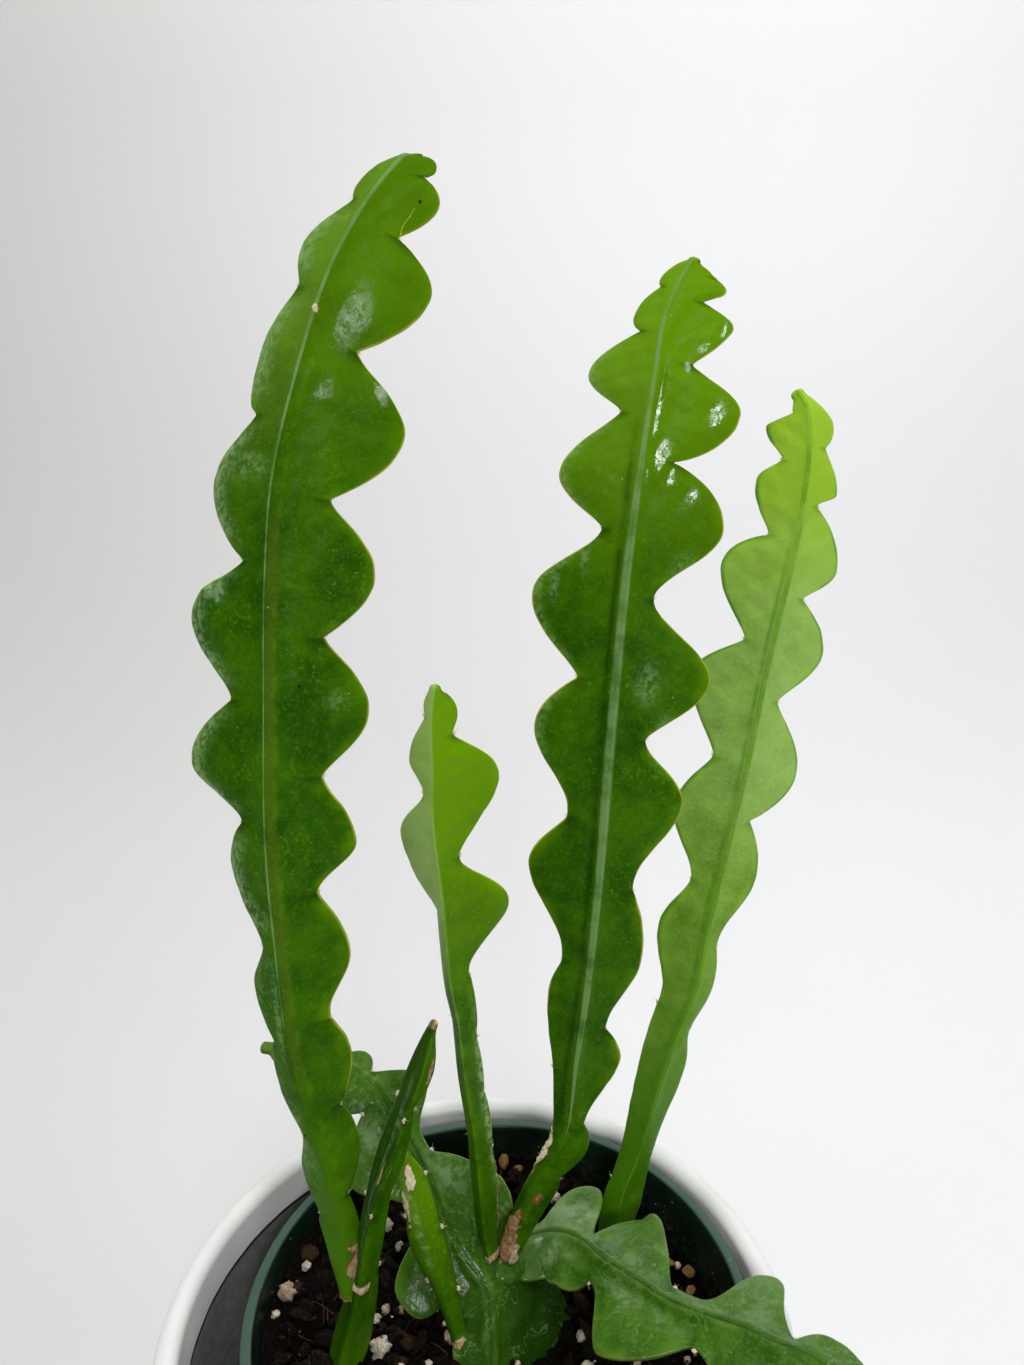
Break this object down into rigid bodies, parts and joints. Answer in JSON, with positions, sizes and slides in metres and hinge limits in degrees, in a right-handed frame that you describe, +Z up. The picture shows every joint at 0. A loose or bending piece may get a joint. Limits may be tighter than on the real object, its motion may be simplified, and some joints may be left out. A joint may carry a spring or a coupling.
{
  "type": "potted ric rac cactus",
  "caption": "Fishbone cactus with flat, deeply lobed stems, rooted in a plastic nursery pot that stands inside a round glazed outer pot.",
  "frame": {"origin": "centre of the outer pot's flat base, on the surface that the pot stands on", "axes": "+Z up, -Y the side that the picture was taken from, +X the picture's right"},
  "size_m": [0.2134, 0.18, 0.4649],
  "materials": {
    "white_glaze": "gloss",
    "nursery_plastic": "satin",
    "potting_soil": "matt",
    "mature_stem": "waxy, satin",
    "young_stem": "waxy, satin",
    "pale_stem": "waxy, satin",
    "old_stem": "waxy, dull with scratches"
  },
  "bodies": {
    "root": {"outer_pot": "white_glaze", "nursery_pot": "nursery_plastic", "soil": "potting_soil", "stem_left_short": "mature_stem", "stem_left_tall": "mature_stem", "stem_centre_broad": "old_stem", "stem_front_short": "young_stem", "stem_small_upright": "young_stem", "stem_centre_tall": "mature_stem", "stem_right": "pale_stem", "stem_trailing": "old_stem"}
  },
  "joints": []
}
